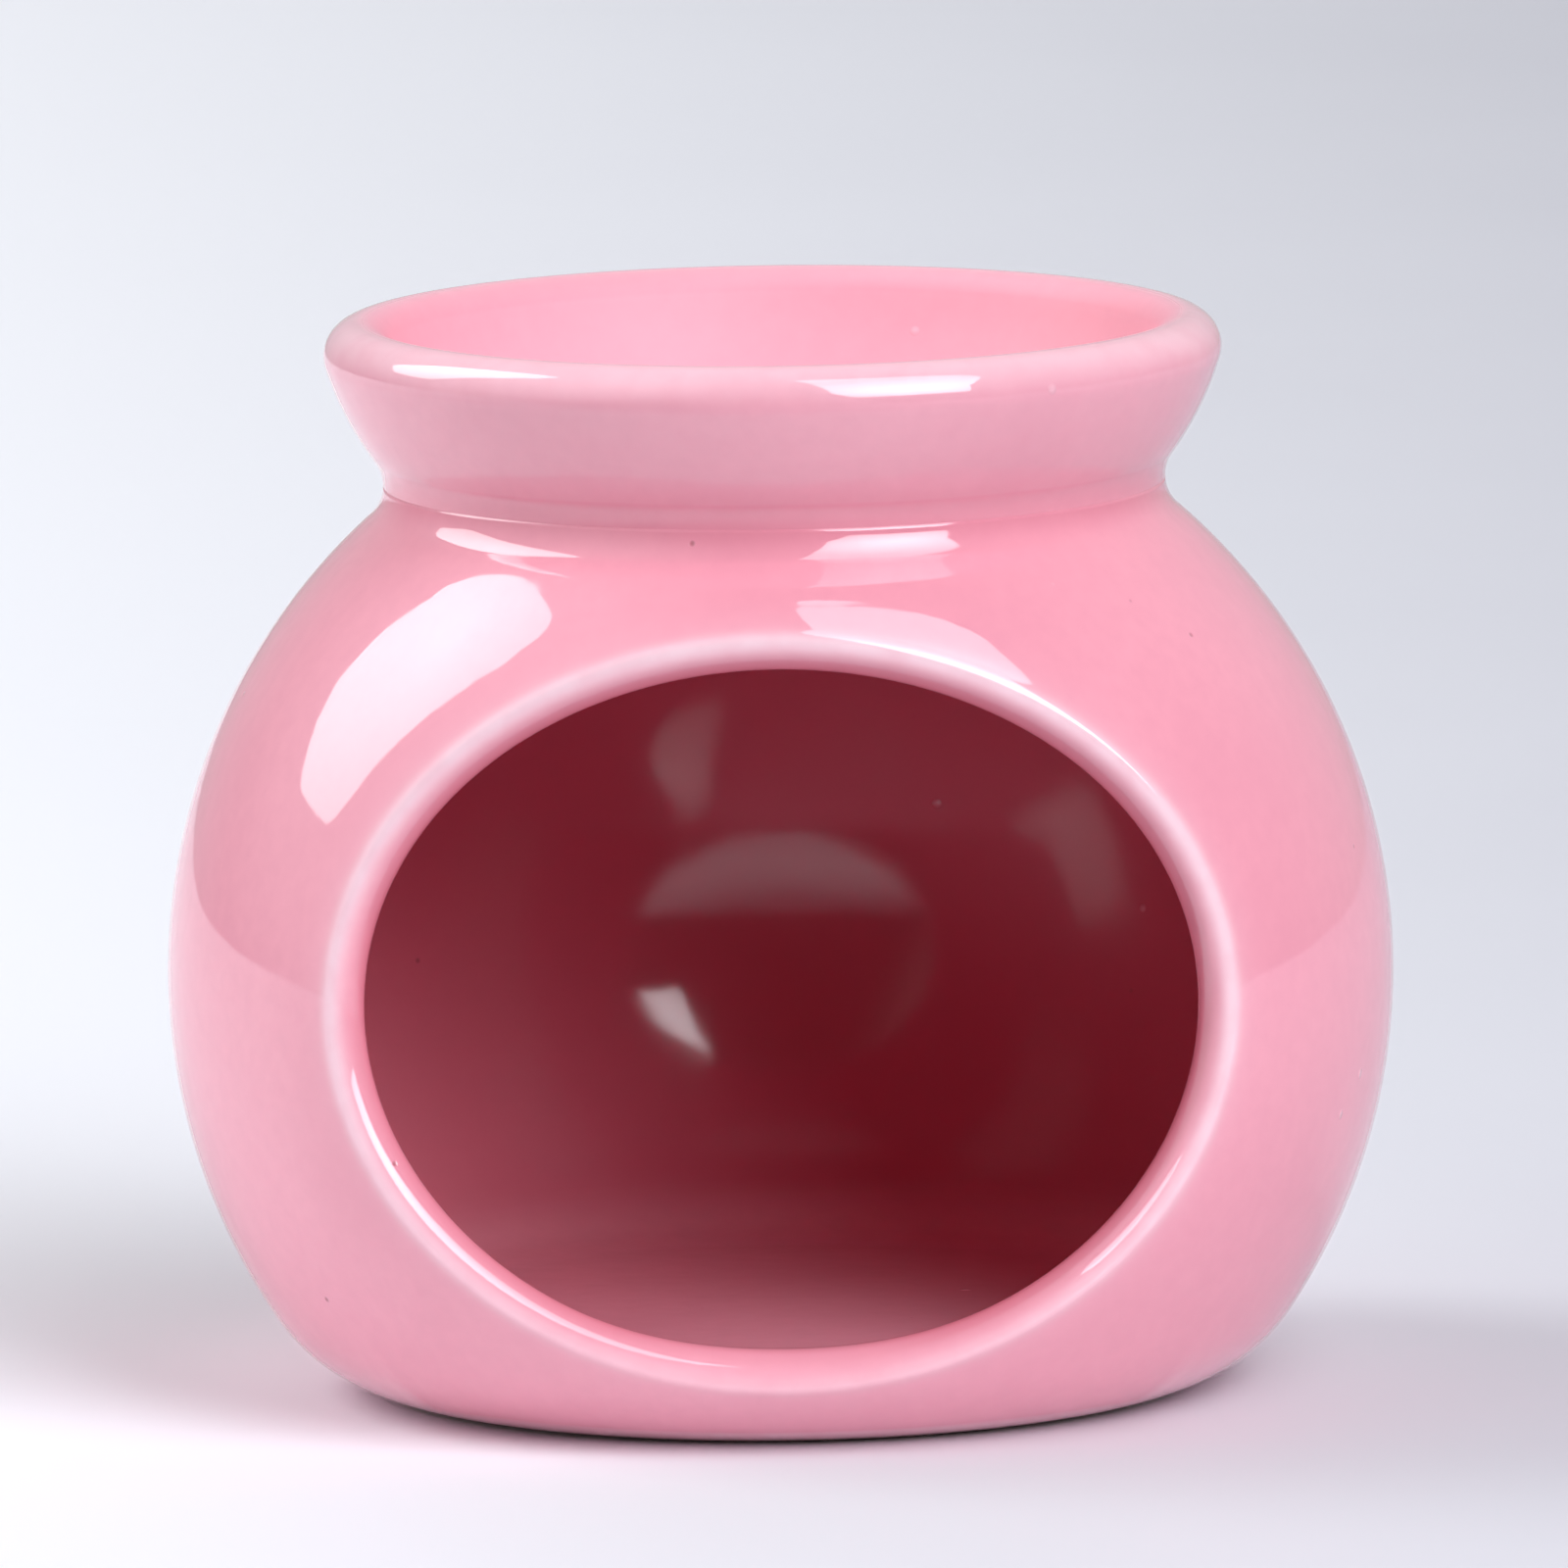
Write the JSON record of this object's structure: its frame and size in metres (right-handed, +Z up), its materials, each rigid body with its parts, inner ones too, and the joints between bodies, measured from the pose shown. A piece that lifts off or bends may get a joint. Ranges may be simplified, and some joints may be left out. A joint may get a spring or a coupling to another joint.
{
  "type": "ceramic wax burner",
  "caption": "Ball-shaped ceramic burner: a pot with a big oval window takes a tealight on its floor, and a shallow flared dish on its neck holds the wax it melts.",
  "frame": {"origin": "centre of the pot's flat base, on the turning axis of the pot and the dish", "axes": "+Z up along the turning axis, +X across the window to the right as seen from the front, the window faces -Y"},
  "size_m": [0.085, 0.0772, 0.0746],
  "materials": {
    "pot_glaze": "pink gloss glaze over pale earthenware, unglazed under the base",
    "dish_glaze": "pink gloss glaze over pale earthenware"
  },
  "bodies": {
    "root": {"chamber_pot": "pot_glaze", "wax_dish": "dish_glaze"}
  },
  "joints": []
}
